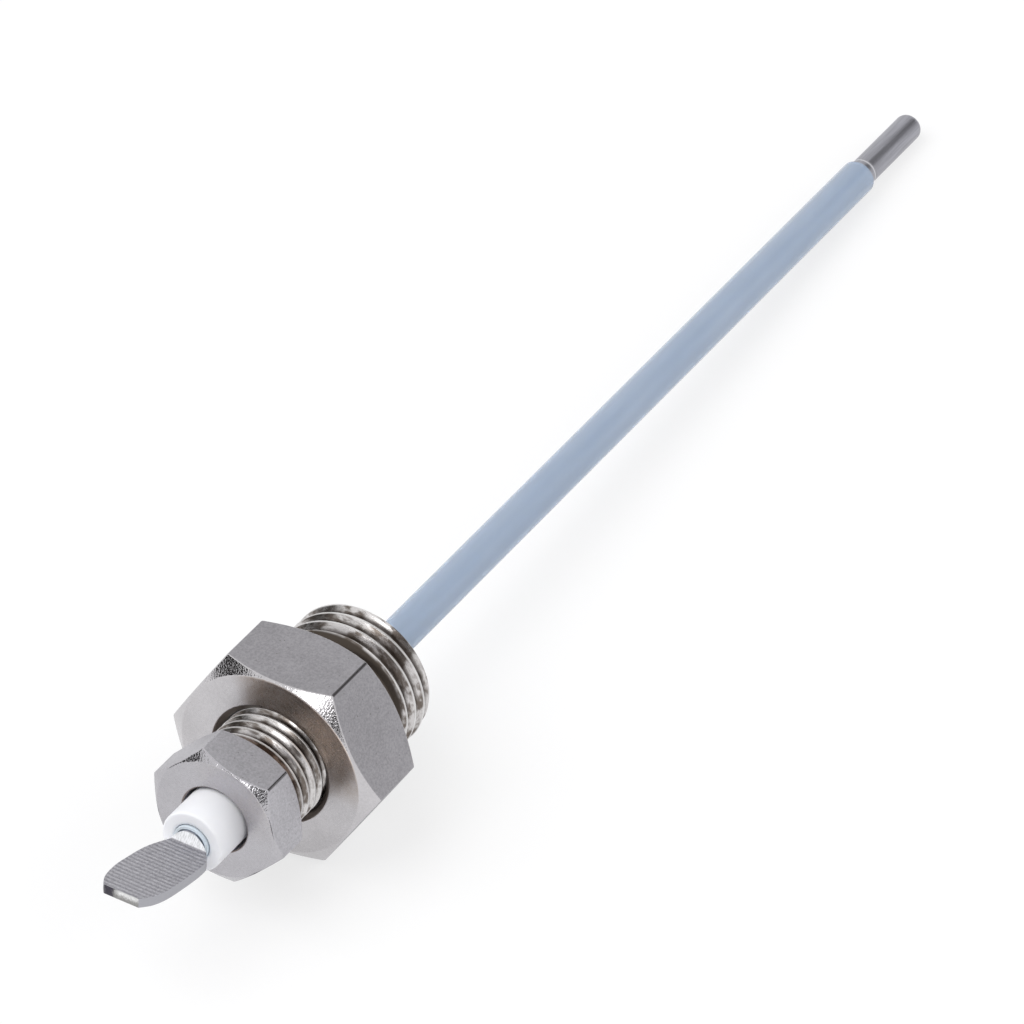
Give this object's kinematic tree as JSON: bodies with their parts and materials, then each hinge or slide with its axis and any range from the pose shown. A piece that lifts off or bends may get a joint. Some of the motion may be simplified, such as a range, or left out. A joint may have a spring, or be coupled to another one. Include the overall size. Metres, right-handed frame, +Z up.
{
  "type": "level probe",
  "caption": "Conductive level probe: sheathed stainless rod with a flat terminal tab, held by a hollow gland nut in a hexagonal body with a parallel pipe thread.",
  "frame": {"origin": "bottom centre of the bounding box, on the surface that the probe lies on", "axes": "+X along the rod towards its bare tip, +Z up; the probe lies on one flat of its big hexagon and on the rod's tip, so its own axis falls by 4 degrees towards +X"},
  "size_m": [0.1316, 0.0196, 0.0174],
  "materials": {
    "nickel_body": "nickel plated, satin flats and turned faces",
    "nickel_nut": "nickel plated, brighter satin",
    "brass": "plain turned brass",
    "white_ptfe": "white PTFE, turned, slightly waxy",
    "packing_ptfe": "white PTFE packing",
    "sheath_ptfe": "thin translucent PTFE tube over steel",
    "stainless": "drawn stainless wire, pressed and serrated tab"
  },
  "bodies": {
    "probe": {"probe_body": "nickel_body", "gland_bush": "white_ptfe", "packing_ring_1": "packing_ptfe", "packing_ring_2": "packing_ptfe", "rod_sheath": "sheath_ptfe", "electrode_rod": "stainless"},
    "washer": {"thrust_washer": "brass"},
    "nut": {"gland_nut": "nickel_nut"}
  },
  "joints": [
    {"name": "gland_travel", "type": "slide", "parent": "probe", "child": "washer", "axis": [-0.9975, 0, 0.07], "range_m": [0, 0.0035]},
    {"name": "gland_turn", "type": "hinge", "parent": "washer", "child": "nut", "pos_m": [-0.04035, 0, 0.00866], "axis": [-0.9975, 0, 0.07], "range_deg": [0, 1260]}
  ],
  "couplings": [
    {"joint": "gland_travel", "follows": "gland_turn", "m_per_rad": 0.00015915}
  ]
}
